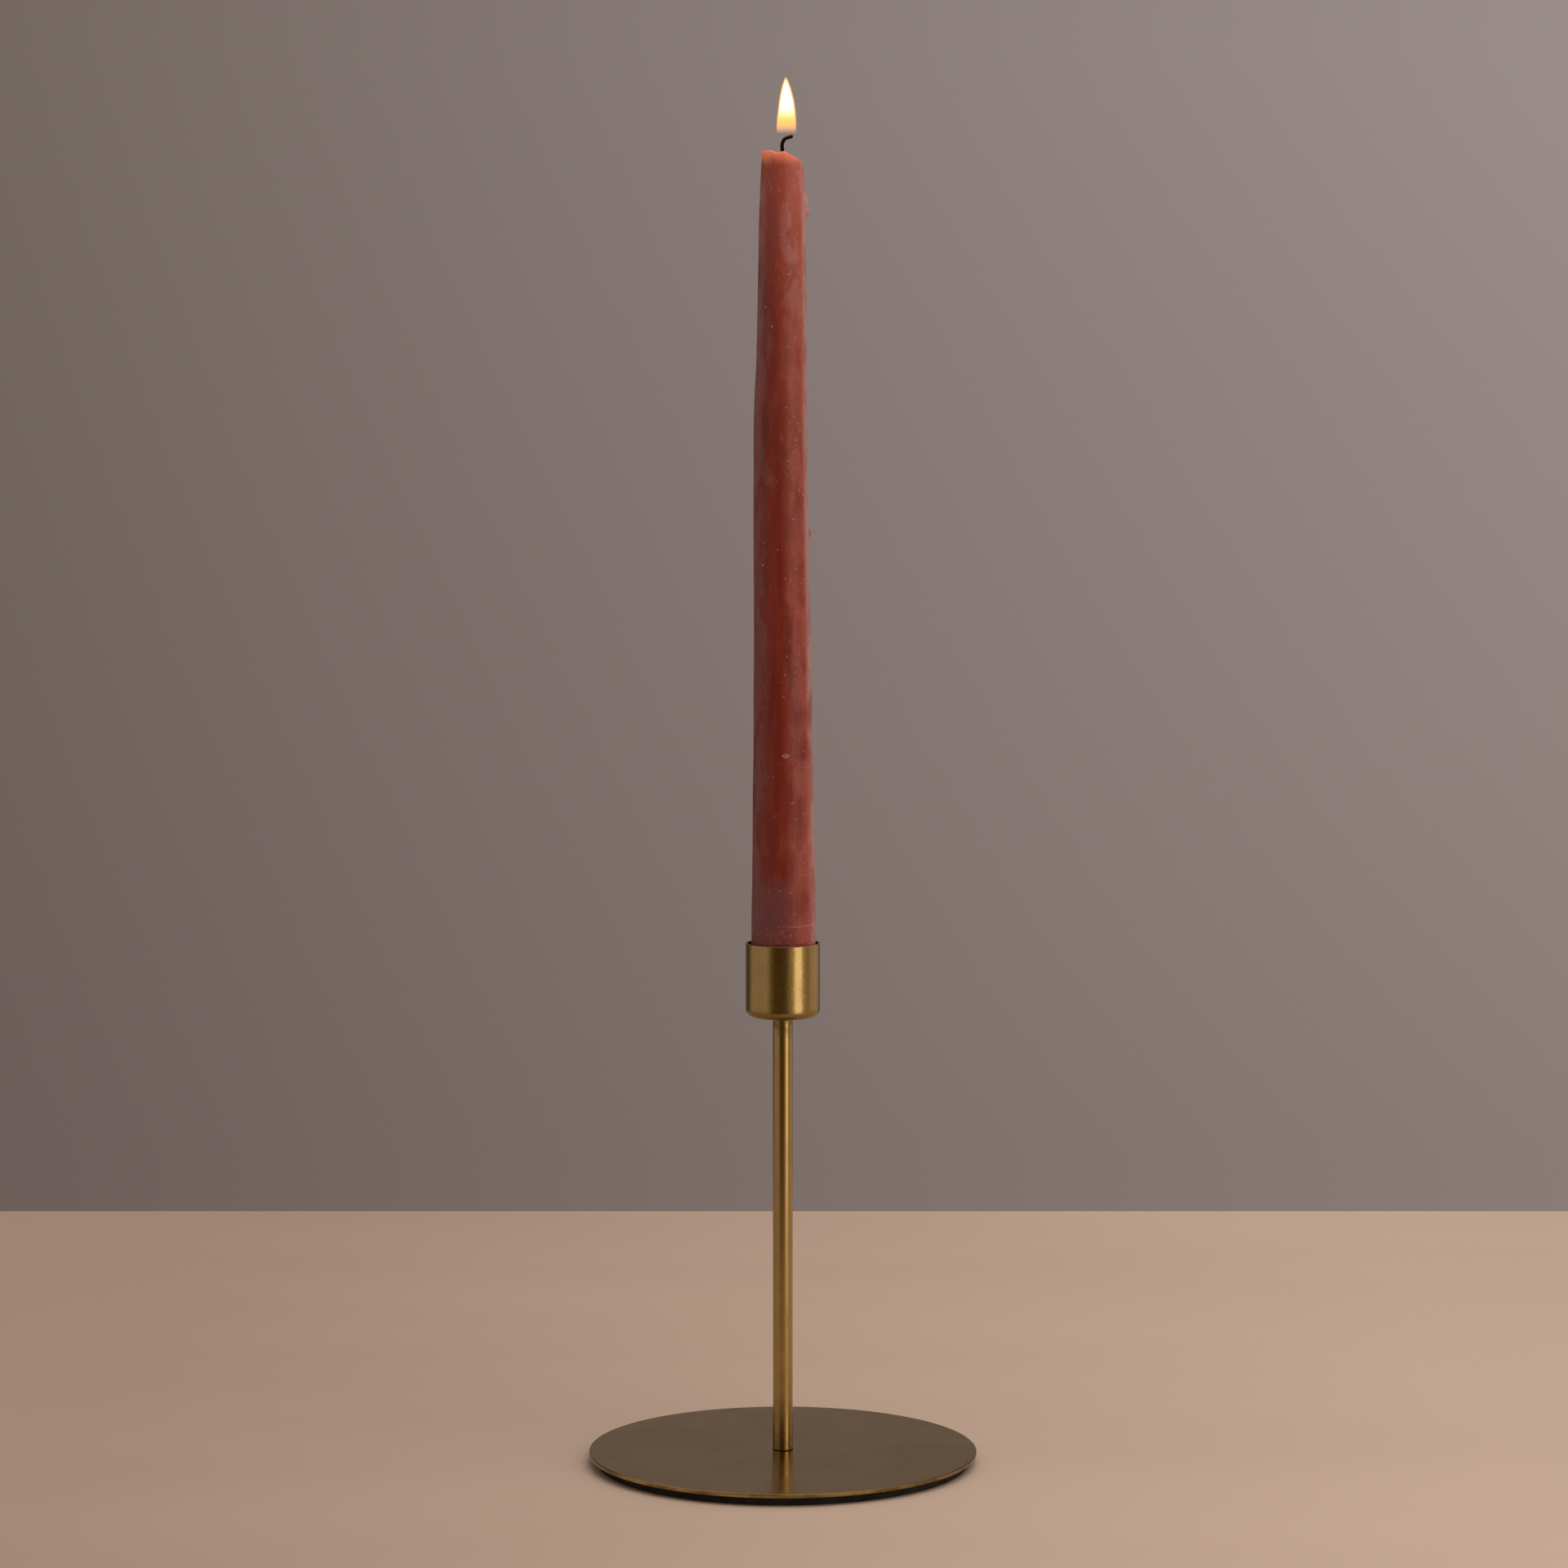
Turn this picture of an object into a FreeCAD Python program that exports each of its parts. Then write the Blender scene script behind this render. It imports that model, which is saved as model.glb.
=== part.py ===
import FreeCAD, Part
import math
import os
import Sketcher

# A brass candlestick for one dinner candle: a thin weighted disc on a foam pad, a slim tube stem, and a
# drawn cup that holds the candle. The stem is a tube with a solid plug pressed into each end; a screw from
# below holds the plate to the lower plug, and a screw inside the cup holds the cup to the upper plug.
# The frame: +Z up, the origin on the stem's axis in the plane that the pad stands on. Millimetres.

DIMENSIONS = {
    # base
    "base_diameter": 135.0,
    "plate_thickness": 1.5,
    "plate_edge_round": 0.45,
    "pad_thickness": 3.0,
    "pad_inset": 3.0,
    "pad_hole_diameter": 14.0,
    # stem
    "stem_diameter": 6.9,
    "stem_wall": 0.8,
    "tube_length": 144.6,
    "foot_height": 6.5,
    "foot_chamfer": 0.3,
    "collar_height": 1.0,
    "collar_diameter": 8.2,
    "spigot_length": 12.0,
    "spigot_chamfer": 0.4,
    # cup
    "cup_diameter": 25.7,
    "cup_height": 25.8,
    "cup_wall": 0.6,
    "cup_corner": 3.0,
    "rim_round": 0.2,
    # screws and washer
    "thread_diameter": 4.0,
    "screw_length": 10.0,
    "screw_hole_clearance": 0.15,
    "head_diameter": 7.6,
    "head_height": 2.2,
    "head_dome": 1.7,
    "socket_across_flats": 2.5,
    "socket_depth": 1.3,
    "tap_runout": 1.5,
    "washer_diameter": 9.0,
    "washer_thickness": 0.8,
    # candle and wick
    "candle_length": 292.0,
    "candle_clearance": 0.9,
    "waist_height": 117.0,
    "waist_taper": 2.8,
    "shoulder_height": 204.0,
    "shoulder_taper": 4.6,
    "tip_taper": 8.5,
    "candle_top_drop": 3.0,
    "wick_diameter": 1.3,
    "wick_stand": 3.6,
    "wick_bend_radius": 2.4,
    "wick_bend_angle": 72.0,
    "wick_tip_length": 2.2,
}

# Sizes and heights that follow from the sheet, written as FreeCAD expressions.
TUBE_BORE = "(dims.stem_diameter - 2 * dims.stem_wall)"
SCREW_HOLE = "(dims.thread_diameter + 2 * dims.screw_hole_clearance)"
CANDLE_FOOT = "(dims.cup_diameter - 2 * dims.cup_wall - 2 * dims.candle_clearance)"
CUP_JOINT_STACK = "(dims.cup_wall + dims.washer_thickness)"

PLATE_Z = "(dims.pad_thickness)"
PLATE_TOP_Z = "(dims.pad_thickness + dims.plate_thickness)"
TUBE_Z = "(dims.pad_thickness + dims.plate_thickness + dims.foot_height)"
TUBE_TOP_Z = "(dims.pad_thickness + dims.plate_thickness + dims.foot_height + dims.tube_length)"
CUP_Z = f"({TUBE_TOP_Z} + dims.collar_height)"
WASHER_Z = f"({CUP_Z} + dims.cup_wall)"
CUP_SCREW_Z = f"({CUP_Z} + {CUP_JOINT_STACK})"
CANDLE_Z = f"({CUP_SCREW_Z} + dims.head_height)"


# ---------------------------------------------------------------- document and sketch helpers

def make_sheet(doc):
    """The spreadsheet of driving dimensions, one named cell each."""
    sheet = doc.addObject("Spreadsheet::Sheet", "dims")
    for row, (name, value) in enumerate(DIMENSIONS.items(), start=1):
        sheet.set(f"A{row}", name)
        sheet.set(f"B{row}", str(value))
        sheet.setAlias(f"B{row}", name)
    doc.recompute()
    return sheet


def make_body(doc, name, height):
    """A body named after its sub-part, whose own origin stands at this height on the stem's axis."""
    body = doc.addObject("PartDesign::Body", name)
    body.Label = name
    body.setExpression("Placement.Base.z", height)
    return body


def new_sketch(body, name, role="XZ_Plane", height=None):
    """A sketch on one of the body's own origin planes, lifted along the plane's normal if asked."""
    sketch = body.newObject("Sketcher::SketchObject", name)
    plane = next(item for item in body.Origin.OriginFeatures if item.Role == role)
    sketch.AttachmentSupport = [(plane, "")]
    sketch.MapMode = "FlatFace"
    if height:
        sketch.setExpression("AttachmentOffset.Base.z", height)
    return sketch


def bind_point(sketch, edge, end, x, y):
    """Holds a point at (x, y) from the sketch's origin: sheet expressions, or None for on the axis."""
    if x is None:
        sketch.addConstraint(Sketcher.Constraint("PointOnObject", edge, end, -2))
    else:
        index = sketch.addConstraint(Sketcher.Constraint("DistanceX", -1, 1, edge, end, 1.0))
        sketch.setExpression(f"Constraints[{index}]", x)
    if y is None:
        sketch.addConstraint(Sketcher.Constraint("PointOnObject", edge, end, -1))
    else:
        index = sketch.addConstraint(Sketcher.Constraint("DistanceY", -1, 1, edge, end, 1.0))
        sketch.setExpression(f"Constraints[{index}]", y)


def outline(sketch, points):
    """A closed outline of straight lines through points: a rough ring, then held by constraints."""
    count = len(points)
    ring = [FreeCAD.Vector(math.cos(2 * math.pi * k / count) + 2, math.sin(2 * math.pi * k / count) + 2, 0)
            for k in range(count)]
    for k in range(count):
        sketch.addGeometry(Part.LineSegment(ring[k], ring[(k + 1) % count]))
    for k in range(count):
        sketch.addConstraint(Sketcher.Constraint("Coincident", k, 2, (k + 1) % count, 1))
    for k, (x, y) in enumerate(points):
        bind_point(sketch, k, 1, x, y)


def circle(sketch, diameter):
    """A circle about the sketch's origin, of a diameter from the sheet."""
    edge = sketch.addGeometry(Part.Circle(FreeCAD.Vector(0, 0, 0), FreeCAD.Vector(0, 0, 1), 1.0))
    sketch.addConstraint(Sketcher.Constraint("Coincident", edge, 3, -1, 1))
    index = sketch.addConstraint(Sketcher.Constraint("Diameter", edge, 2.0))
    sketch.setExpression(f"Constraints[{index}]", diameter)


# ---------------------------------------------------------------- feature helpers

def turned(body, points):
    """A solid turned about the axis from its half outline."""
    sketch = new_sketch(body, f"{body.Name}_outline")
    outline(sketch, points)
    turn = body.newObject("PartDesign::Revolution", f"{body.Name}_turning")
    turn.Profile = sketch
    turn.ReferenceAxis = (sketch, ["V_Axis"])
    turn.Angle = 360
    return turn


def disc(body, diameters, thickness):
    """A flat disc, or a ring if it is given two diameters, standing on the body's own XY plane."""
    sketch = new_sketch(body, f"{body.Name}_outline", "XY_Plane")
    for diameter in diameters:
        circle(sketch, diameter)
    pad = body.newObject("PartDesign::Pad", f"{body.Name}_disc")
    pad.Profile = sketch
    pad.setExpression("Length", thickness)
    return pad


def bored(body, diameter, depth=None, height=None, upward=True):
    """A round hole on the axis, through everything or blind, cut upward or downward from a height."""
    sketch = new_sketch(body, f"{body.Name}_bore_outline", "XY_Plane", height)
    circle(sketch, diameter)
    pocket = body.newObject("PartDesign::Pocket", f"{body.Name}_bore")
    pocket.Profile = sketch
    pocket.Reversed = upward
    if depth:
        pocket.setExpression("Length", depth)
    else:
        pocket.Type = "ThroughAll"
    return pocket


def ring_edges(body, diameter, height):
    """The names of the body's round edges of this diameter (mm) at this height (mm) in its own frame."""
    names = []
    for number, edge in enumerate(body.Tip.Shape.Edges, start=1):
        curve = edge.Curve
        if not isinstance(curve, Part.Circle):
            continue
        if abs(2 * curve.Radius - diameter) < 1e-4 and abs(curve.Center.z - height) < 1e-4:
            names.append(f"Edge{number}")
    if not names:
        raise RuntimeError(f"{body.Name} has no round edge of diameter {diameter} at height {height}")
    return names


def eased(doc, body, kind, size, edges):
    """A fillet or chamfer, of a size from the sheet, on round edges given by diameter and height in mm."""
    doc.recompute()
    names = []
    for diameter, height in edges:
        names += ring_edges(body, diameter, height)
    base = body.Tip
    feature = body.newObject(f"PartDesign::{kind}", f"{body.Name}_{kind.lower()}_{len(body.Group)}")
    feature.Base = (base, names)
    property_name = "Radius" if kind == "Fillet" else "Size"
    feature.setExpression(property_name, size)
    body.Tip = feature
    return feature


# ---------------------------------------------------------------- the base

def make_base_pad(doc):
    """The black foam ring under the plate, open in the middle round the screw's head."""
    body = make_body(doc, "base_pad", "0")
    disc(body, ["dims.base_diameter - 2 * dims.pad_inset", "dims.pad_hole_diameter"], "dims.pad_thickness")
    return body


def make_base_plate(doc, dims):
    """The flat brass disc, with eased edges and a clearance hole for the screw."""
    body = make_body(doc, "base_plate", PLATE_Z)
    disc(body, ["dims.base_diameter", SCREW_HOLE], "dims.plate_thickness")
    edges = [(dims.base_diameter, 0), (dims.base_diameter, dims.plate_thickness)]
    eased(doc, body, "Fillet", "dims.plate_edge_round", edges)
    return body


def make_button_screw(doc, dims, name, height, upward):
    """A button head screw with a hexagon socket. Its own origin is at the middle of the head's flat side."""
    body = make_body(doc, name, height)
    shank = "dims.thread_diameter / 2"
    head = "dims.head_diameter / 2"
    turned(body, [(None, "-dims.head_height"), (head, "-dims.head_height"), (head, None),
                  (shank, None), (shank, "dims.screw_length"), (None, "dims.screw_length")])
    eased(doc, body, "Fillet", "dims.head_dome", [(dims.head_diameter, -dims.head_height)])
    sketch = new_sketch(body, f"{name}_socket_outline", "XY_Plane", "-dims.head_height")
    hexagon(sketch, "dims.socket_across_flats")
    socket = body.newObject("PartDesign::Pocket", f"{name}_socket")
    socket.Profile = sketch
    socket.Reversed = True
    socket.setExpression("Length", "dims.socket_depth")
    if not upward:
        body.Placement.Rotation = FreeCAD.Rotation(FreeCAD.Vector(1, 0, 0), 180)
    return body


def hexagon(sketch, across_flats):
    """A hexagon about the sketch's origin, of a size across its flats from the sheet."""
    corners = []
    for k in range(6):
        x, y = math.cos(math.pi * k / 3), math.sin(math.pi * k / 3)
        scale = f"{across_flats} / sqrt(3)"
        corners.append((f"{scale} * {x:.9f}", f"{scale} * {y:.9f}" if abs(y) > 1e-9 else None))
    outline(sketch, corners)


# ---------------------------------------------------------------- the stem

def make_stem_foot(doc, dims):
    """The lower plug: a shoulder that stands on the plate, a spigot in the tube, a tapped hole."""
    body = make_body(doc, "stem_foot", PLATE_TOP_Z)
    shoulder, spigot = "dims.stem_diameter / 2", f"{TUBE_BORE} / 2"
    top = "dims.foot_height + dims.spigot_length"
    turned(body, [(None, None), (shoulder, None), (shoulder, "dims.foot_height"),
                  (spigot, "dims.foot_height"), (spigot, top), (None, top)])
    bore = dims.stem_diameter - 2 * dims.stem_wall
    eased(doc, body, "Chamfer", "dims.foot_chamfer", [(dims.stem_diameter, 0)])
    eased(doc, body, "Chamfer", "dims.spigot_chamfer", [(bore, dims.foot_height + dims.spigot_length)])
    bored(body, "dims.thread_diameter", "dims.screw_length - dims.plate_thickness + dims.tap_runout")
    return body


def make_stem_tube(doc):
    """The stem itself, a plain drawn tube."""
    body = make_body(doc, "stem_tube", TUBE_Z)
    disc(body, ["dims.stem_diameter", TUBE_BORE], "dims.tube_length")
    return body


def make_stem_head(doc, dims):
    """The upper plug: a spigot in the tube, a flared collar that the cup sits on, a tapped hole."""
    body = make_body(doc, "stem_head", TUBE_TOP_Z)
    neck, spigot, flare = "dims.stem_diameter / 2", f"{TUBE_BORE} / 2", "dims.collar_diameter / 2"
    turned(body, [(None, "-dims.spigot_length"), (spigot, "-dims.spigot_length"), (spigot, None),
                  (neck, None), (flare, "dims.collar_height"), (None, "dims.collar_height")])
    bore = dims.stem_diameter - 2 * dims.stem_wall
    eased(doc, body, "Chamfer", "dims.spigot_chamfer", [(bore, -dims.spigot_length)])
    depth = f"dims.screw_length - {CUP_JOINT_STACK} + dims.tap_runout"
    bored(body, "dims.thread_diameter", depth, "dims.collar_height", upward=False)
    return body


# ---------------------------------------------------------------- the cup

def make_cup(doc, dims):
    """The drawn cup: one even wall, a rounded bottom corner, a softened rim, a screw hole in its floor."""
    body = make_body(doc, "cup", CUP_Z)
    outer, inner = "dims.cup_diameter / 2", "dims.cup_diameter / 2 - dims.cup_wall"
    turned(body, [(None, None), (outer, None), (outer, "dims.cup_height"), (inner, "dims.cup_height"),
                  (inner, "dims.cup_wall"), (None, "dims.cup_wall")])
    bore = dims.cup_diameter - 2 * dims.cup_wall
    eased(doc, body, "Fillet", "dims.cup_corner", [(dims.cup_diameter, 0)])
    eased(doc, body, "Fillet", "dims.cup_corner - dims.cup_wall", [(bore, dims.cup_wall)])
    rim = [(dims.cup_diameter, dims.cup_height), (bore, dims.cup_height)]
    eased(doc, body, "Fillet", "dims.rim_round", rim)
    bored(body, SCREW_HOLE)
    return body


def make_cup_washer(doc):
    """The flat washer that spreads the screw's load over the thin floor."""
    body = make_body(doc, "cup_washer", WASHER_Z)
    disc(body, ["dims.washer_diameter", SCREW_HOLE], "dims.washer_thickness")
    return body


# ---------------------------------------------------------------- the candle

def make_candle(doc):
    """The tapered wax candle, burned down a little on a slant, with a channel for its wick."""
    body = make_body(doc, "candle", CANDLE_Z)
    stations = [
        ("foot", None, CANDLE_FOOT),
        ("waist", "dims.waist_height", f"{CANDLE_FOOT} - dims.waist_taper"),
        ("shoulder", "dims.shoulder_height", f"{CANDLE_FOOT} - dims.shoulder_taper"),
        ("tip", "dims.candle_length + dims.candle_top_drop", f"{CANDLE_FOOT} - dims.tip_taper"),
    ]
    sections = []
    for name, height, diameter in stations:
        sketch = new_sketch(body, f"candle_{name}", "XY_Plane", height)
        circle(sketch, diameter)
        sections.append(sketch)
    loft = body.newObject("PartDesign::AdditiveLoft", "candle_taper")
    loft.Profile = sections[0]
    loft.Sections = [(section, [""]) for section in sections[1:]]
    loft.Closed = False
    loft.Ruled = False

    slant = new_sketch(body, "candle_slant_outline")
    reach = "dims.cup_diameter"
    rise = f"{reach} * dims.candle_top_drop / ({CANDLE_FOOT} - dims.tip_taper)"
    above = f"dims.candle_length + 3 * ({rise})"
    outline(slant, [(f"-{reach}", f"dims.candle_length + {rise}"), (reach, f"dims.candle_length - {rise}"),
                    (reach, above), (f"-{reach}", above)])
    burn = body.newObject("PartDesign::Pocket", "candle_slant")
    burn.Profile = slant
    burn.Type = "ThroughAll"
    burn.Midplane = True

    bored(body, "dims.wick_diameter")
    return body


def make_wick(doc, dims):
    """The cotton wick: up the candle's channel, a short stand above the wax, then bent over to +X."""
    body = make_body(doc, "wick", CANDLE_Z)
    path = new_sketch(body, "wick_path")
    radius, angle = dims.wick_bend_radius, math.radians(dims.wick_bend_angle)
    stand_top = FreeCAD.Vector(0, dims.candle_length + dims.wick_stand, 0)
    centre = stand_top + FreeCAD.Vector(radius, 0, 0)
    bend_end = centre + FreeCAD.Vector(-math.cos(angle), math.sin(angle), 0) * radius
    tip = bend_end + FreeCAD.Vector(math.sin(angle), math.cos(angle), 0) * dims.wick_tip_length
    round_bend = Part.Circle(centre, FreeCAD.Vector(0, 0, 1), radius)
    path.addGeometry(Part.LineSegment(FreeCAD.Vector(0, 0, 0), stand_top))
    path.addGeometry(Part.ArcOfCircle(round_bend, math.pi - angle, math.pi))
    path.addGeometry(Part.LineSegment(bend_end, tip))
    path.addConstraint(Sketcher.Constraint("Coincident", 0, 1, -1, 1))
    path.addConstraint(Sketcher.Constraint("Vertical", 0))
    path.addConstraint(Sketcher.Constraint("Tangent", 0, 2, 1, 2))
    path.addConstraint(Sketcher.Constraint("Tangent", 1, 1, 2, 1))
    sizes = [
        ("DistanceY", 0, stand_top.y, "dims.candle_length + dims.wick_stand"),
        ("Radius", 1, radius, "dims.wick_bend_radius"),
        ("Angle", 1, angle, "dims.wick_bend_angle * 1deg"),
        ("Distance", 2, dims.wick_tip_length, "dims.wick_tip_length"),
    ]
    for kind, edge, value, expression in sizes:
        index = path.addConstraint(Sketcher.Constraint(kind, edge, value))
        path.setExpression(f"Constraints[{index}]", expression)

    strand = new_sketch(body, "wick_strand", "XY_Plane")
    circle(strand, "dims.wick_diameter")
    pipe = body.newObject("PartDesign::AdditivePipe", "wick_sweep")
    pipe.Profile = strand
    pipe.Spine = (path, ["Edge1", "Edge2", "Edge3"])
    return body


# ---------------------------------------------------------------- build, test and write

def check_document(doc, bodies):
    """Stops the build if any object failed, or any sub-part isn't one valid solid."""
    for item in doc.Objects:
        if "Invalid" in item.State or "Error" in item.State:
            raise RuntimeError(f"{item.Name} failed: {item.State}")
    for body in bodies:
        shape = body.Shape
        if shape.isNull() or not shape.isValid() or len(shape.Solids) != 1:
            raise RuntimeError(f"{body.Label} isn't one valid solid")


def check_cuts(doc):
    """Stops the build if a pocket took nothing away from the solid before it."""
    for item in doc.Objects:
        if item.TypeId == "PartDesign::Pocket" and item.Shape.Volume > item.BaseFeature.Shape.Volume - 1e-3:
            raise RuntimeError(f"{item.Name} cuts nothing")


def build():
    doc = FreeCAD.newDocument("candlestick")
    dims = make_sheet(doc)
    bodies = [
        make_base_pad(doc),
        make_base_plate(doc, dims),
        make_button_screw(doc, dims, "base_screw", PLATE_Z, upward=True),
        make_stem_foot(doc, dims),
        make_stem_tube(doc),
        make_stem_head(doc, dims),
        make_cup(doc, dims),
        make_cup_washer(doc),
        make_button_screw(doc, dims, "cup_screw", CUP_SCREW_Z, upward=False),
        make_candle(doc),
        make_wick(doc, dims),
    ]
    doc.recompute()
    check_document(doc, bodies)
    check_cuts(doc)
    os.makedirs("parts", exist_ok=True)
    for body in bodies:
        body.Shape.exportStep(f"parts/{body.Label}.step")
        box = body.Shape.BoundBox
        print(f"{body.Label:12s} volume {body.Shape.Volume:10.1f}  z {box.ZMin:8.2f} to {box.ZMax:8.2f}")


build()
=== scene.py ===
import math

import bmesh
import bpy
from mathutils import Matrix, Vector, noise


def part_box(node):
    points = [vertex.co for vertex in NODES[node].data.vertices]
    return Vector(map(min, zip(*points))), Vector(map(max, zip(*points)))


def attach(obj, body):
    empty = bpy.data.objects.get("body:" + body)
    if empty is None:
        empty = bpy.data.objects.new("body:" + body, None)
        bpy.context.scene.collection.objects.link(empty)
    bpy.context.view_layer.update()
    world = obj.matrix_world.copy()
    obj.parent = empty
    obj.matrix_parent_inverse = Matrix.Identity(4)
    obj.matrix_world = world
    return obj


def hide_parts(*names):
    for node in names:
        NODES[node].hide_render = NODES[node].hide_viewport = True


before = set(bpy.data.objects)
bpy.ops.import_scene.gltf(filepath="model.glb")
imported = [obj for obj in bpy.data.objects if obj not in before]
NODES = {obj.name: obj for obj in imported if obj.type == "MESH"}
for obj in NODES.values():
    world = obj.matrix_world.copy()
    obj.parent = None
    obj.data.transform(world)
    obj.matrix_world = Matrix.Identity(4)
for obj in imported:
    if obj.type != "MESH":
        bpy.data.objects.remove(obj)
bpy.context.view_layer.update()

# A lit dinner candle in a brass candlestick. The CAD nodes of the candlestick keep their shapes and get
# detailed metal; the candle, its wick and the flame are modelled here. Lengths in mm are times MM.
MM = 0.001


# ---------------------------------------------------------------- node helpers

class Nodes:
    """Short calls that build a node tree. A value is a node's output, a plain number or a colour."""

    def __init__(self, tree):
        self.tree = tree
        tree.nodes.clear()

    def link(self, source, socket):
        self.tree.links.new(source, socket)

    def feed(self, socket, value):
        """Links a node's output, or sets a plain number or colour."""
        if isinstance(value, bpy.types.NodeSocket):
            self.link(value, socket)
        elif isinstance(value, (tuple, list)) and len(value) == 3 and socket.type == "RGBA":
            socket.default_value = (*value, 1.0)
        else:
            socket.default_value = value

    def split(self, vector):
        node = self.tree.nodes.new("ShaderNodeSeparateXYZ")
        self.link(vector, node.inputs[0])
        return node.outputs

    def math(self, operation, *values):
        node = self.tree.nodes.new("ShaderNodeMath")
        node.operation = operation
        for socket, value in zip(node.inputs, values):
            self.feed(socket, value)
        return node.outputs[0]

    def times(self, first, *others):
        for other in others:
            first = self.math("MULTIPLY", first, other)
        return first

    def plus(self, first, *others):
        for other in others:
            first = self.math("ADD", first, other)
        return first

    def hypotenuse(self, first, second):
        return self.math("SQRT", self.plus(self.times(first, first), self.times(second, second)))

    def between(self, value, low, high, out_low=0.0, out_high=1.0, smooth=True):
        """Maps a range to another, eased or even, and clamped."""
        node = self.tree.nodes.new("ShaderNodeMapRange")
        node.interpolation_type = "SMOOTHSTEP" if smooth else "LINEAR"
        ends = {"From Min": low, "From Max": high, "To Min": out_low, "To Max": out_high}
        for name, number in ends.items():
            node.inputs[name].default_value = number
        self.feed(node.inputs["Value"], value)
        return node.outputs[0]

    def ramp(self, factor, stops):
        """A colour ramp: stops of (place, colour or grey)."""
        node = self.tree.nodes.new("ShaderNodeValToRGB")
        while len(node.color_ramp.elements) < len(stops):
            node.color_ramp.elements.new(1.0)
        for element, (place, colour) in zip(node.color_ramp.elements, stops):
            element.position = place
            element.color = (*colour, 1.0) if isinstance(colour, (tuple, list)) else (colour,) * 3 + (1.0,)
        self.feed(node.inputs[0], factor)
        return node.outputs[0]

    def mix(self, factor, first, second):
        node = self.tree.nodes.new("ShaderNodeMix")
        node.data_type = "RGBA"
        self.feed(node.inputs[0], factor)
        self.feed(node.inputs[6], first)
        self.feed(node.inputs[7], second)
        return node.outputs[2]


class Shader(Nodes):
    """Builds one material's node tree. Textures use the piece's own coordinates in millimetres."""

    def __init__(self, name):
        self.material = bpy.data.materials.new(name)
        self.material.use_nodes = True
        super().__init__(self.material.node_tree)
        output = self.tree.nodes.new("ShaderNodeOutputMaterial")
        self.bsdf = self.tree.nodes.new("ShaderNodeBsdfPrincipled")
        self.link(self.bsdf.outputs[0], output.inputs["Surface"])
        coordinates = self.tree.nodes.new("ShaderNodeTexCoord")
        scale = self.tree.nodes.new("ShaderNodeVectorMath")
        scale.operation = "SCALE"
        scale.inputs["Scale"].default_value = 1 / MM
        self.link(coordinates.outputs["Object"], scale.inputs[0])
        self.place = scale.outputs[0]
        self.x, self.y, self.z = self.split(self.place)

    def stretched(self, stretch):
        """The piece's coordinates, scaled differently along X, Y and Z."""
        node = self.tree.nodes.new("ShaderNodeVectorMath")
        node.operation = "MULTIPLY"
        self.link(self.place, node.inputs[0])
        node.inputs[1].default_value = stretch
        return node.outputs[0]

    def on_wall(self, arc, up):
        """Coordinates for a round wall: a small number makes longer marks round it or up it."""
        return self.stretched((arc, arc, up))

    def noise(self, period, vector=None, detail=4.0, roughness=0.55, distortion=0.0):
        """Noise with features about this many mm across."""
        node = self.tree.nodes.new("ShaderNodeTexNoise")
        node.inputs["Scale"].default_value = 1 / period
        node.inputs["Detail"].default_value = detail
        node.inputs["Roughness"].default_value = roughness
        node.inputs["Distortion"].default_value = distortion
        self.link(vector or self.place, node.inputs["Vector"])
        return node.outputs["Fac"]

    def cells(self, period):
        """Distance from the nearest of scattered points, as a share of the period in mm."""
        node = self.tree.nodes.new("ShaderNodeTexVoronoi")
        node.inputs["Scale"].default_value = 1 / period
        self.link(self.place, node.inputs["Vector"])
        return node.outputs["Distance"]

    def bump(self, height, distance, strength):
        """A bump whose full height is this many mm."""
        node = self.tree.nodes.new("ShaderNodeBump")
        node.inputs["Distance"].default_value = distance * MM
        node.inputs["Strength"].default_value = strength
        self.link(height, node.inputs["Height"])
        return node.outputs[0]

    def set(self, **values):
        """Sets the Principled shader's sockets: base_color for Base Color, and so on."""
        for name, value in values.items():
            title = name.replace("_", " ").title().replace("Ior", "IOR")
            self.feed(self.bsdf.inputs[title], value)
        return self.material


# ---------------------------------------------------------------- metals

BRASS = (0.46, 0.325, 0.130)
BRASS_DULL = (0.32, 0.215, 0.075)
BRASS_STAIN = (0.10, 0.055, 0.012)
BRASS_OLIVE = (0.19, 0.145, 0.045)
BRASS_SHEET = (0.44, 0.305, 0.130)
BRASS_SHEET_DULL = (0.33, 0.228, 0.095)
BRASS_BROWN = (0.19, 0.120, 0.030)
BRASS_PIT = (0.035, 0.014, 0.004)
FOOT_RING_DARK = (0.05, 0.026, 0.012)
DUST = (0.75, 0.70, 0.62)


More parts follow.
